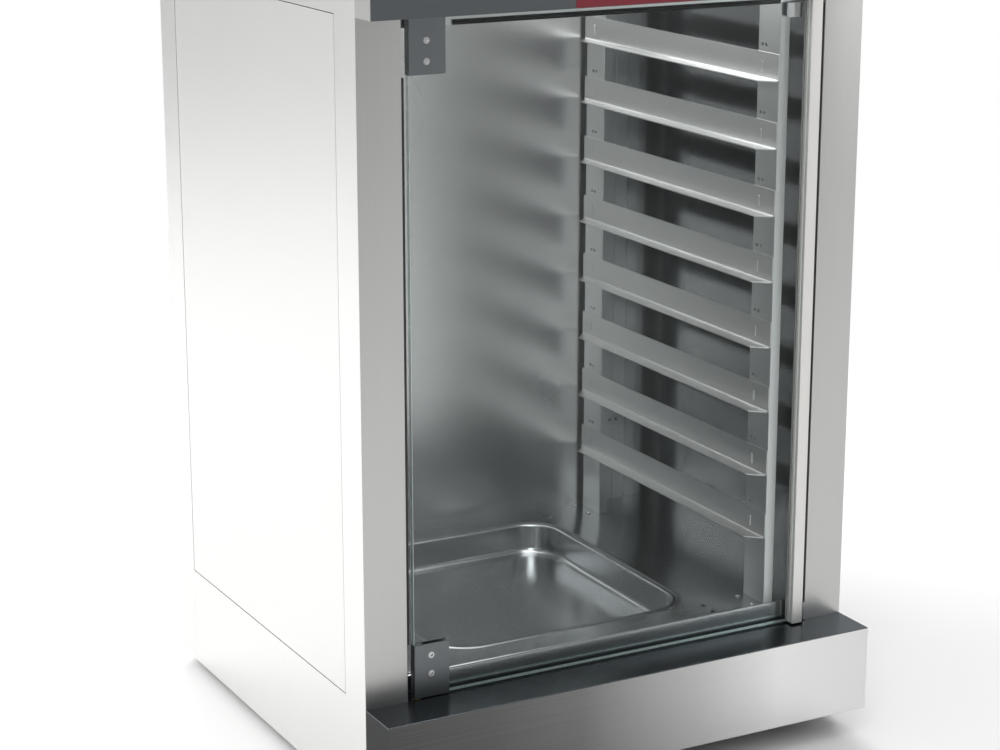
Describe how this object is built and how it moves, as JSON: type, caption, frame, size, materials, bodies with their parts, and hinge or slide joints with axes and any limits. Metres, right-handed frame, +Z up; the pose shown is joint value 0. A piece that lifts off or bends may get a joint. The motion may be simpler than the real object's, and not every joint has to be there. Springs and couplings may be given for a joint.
{
  "type": "proofing cabinet",
  "caption": "Stainless cabinet for proving dough: insulated chamber with a tray rack, a heated water basin in its floor, a hinged glass door and controls on its head.",
  "frame": {"origin": "centre of the bounding box on the floor that the feet stand on", "axes": "+Z up, -Y to the front where the door opens, +X to the right of a person facing the door"},
  "size_m": [0.612, 0.611, 0.956],
  "materials": {
    "casing_steel": "fine vertical brushing",
    "chamber_steel": "bright rolled sheet, softly mirrored",
    "fastener_steel": "bright",
    "fascia": "satin dark grey",
    "badge_red": "satin red",
    "black_plastic": "moulded, fine texture",
    "switch_green": "translucent moulded",
    "lamp": "translucent lens",
    "bronze": "sintered",
    "white_plastic": "moulded",
    "mineral_wool": "pressed mineral wool board",
    "heater_plate": "rolled sheet",
    "door_pane": "clear toughened",
    "clamp_steel": "dark brushed",
    "handle_aluminium": "satin anodised",
    "seal_rubber": "extruded",
    "foot_rubber": "moulded"
  },
  "bodies": {
    "cabinet": {"badge_plate": "badge_red", "base_tray": "casing_steel", "basin_heater": "heater_plate", "cable_gland": "black_plastic", "control_fascia": "fascia", "control_housing": "casing_steel", "corner_strip": "chamber_steel", "feet": "foot_rubber", "floor": "chamber_steel", "front_header": "chamber_steel", "insulation_back": "mineral_wool", "insulation_sides": "mineral_wool", "insulation_top": "mineral_wool", "liner_back": "chamber_steel", "liner_left": "chamber_steel", "liner_right": "chamber_steel", "liner_top": "chamber_steel", "magnet_catch": "black_plastic", "pilot_lamps": "lamp", "pivot_bushes": "bronze", "plinth": "casing_steel", "rack_screws": "fastener_steel", "rail_pair_1": "chamber_steel", "rail_pair_2": "chamber_steel", "rail_pair_3": "chamber_steel", "rail_pair_4": "chamber_steel", "rail_pair_5": "chamber_steel", "rail_pair_6": "chamber_steel", "rail_pair_7": "chamber_steel", "rail_pair_8": "chamber_steel", "rear_cover": "casing_steel", "rear_screws": "fastener_steel", "regulators": "black_plastic", "seal_left": "seal_rubber", "seal_right": "seal_rubber", "seal_top": "seal_rubber", "side_panel_left": "casing_steel", "side_panel_right": "casing_steel", "side_shell_left": "casing_steel", "side_shell_right": "casing_steel", "stop_plate": "fastener_steel", "switch_body": "black_plastic", "terminal_block": "white_plastic", "thermostat_bulb": "fastener_steel", "top_cover": "casing_steel", "upright_left_front": "chamber_steel", "upright_left_rear": "chamber_steel", "upright_right_front": "chamber_steel", "upright_right_rear": "chamber_steel"},
    "door": {"door_glass": "door_pane", "hinge_plates": "clamp_steel", "hinge_clamps": "clamp_steel", "hinge_pins": "fastener_steel", "hinge_screws": "fastener_steel", "door_handle": "handle_aluminium", "handle_cap": "black_plastic", "strike_plate": "fastener_steel"},
    "thermostat": {"thermostat_knob": "black_plastic"},
    "humidity": {"humidity_knob": "black_plastic"},
    "rocker": {"power_rocker": "switch_green"}
  },
  "joints": [
    {"name": "door_hinge", "type": "hinge", "parent": "cabinet", "child": "door", "pos_m": [-0.244, -0.2455, 0.497], "axis": [0, 0, -1], "range_deg": [0, 110]},
    {"name": "thermostat_turn", "type": "hinge", "parent": "cabinet", "child": "thermostat", "pos_m": [0.15, -0.2945, 0.911], "axis": [0, 1, 0], "range_deg": [0, 300]},
    {"name": "humidity_turn", "type": "hinge", "parent": "cabinet", "child": "humidity", "pos_m": [0.218, -0.2945, 0.911], "axis": [0, 1, 0], "range_deg": [0, 300]},
    {"name": "rocker_tip", "type": "hinge", "parent": "cabinet", "child": "rocker", "pos_m": [-0.218, -0.2825, 0.911], "axis": [1, 0, 0], "range_deg": [-16, 0]}
  ]
}
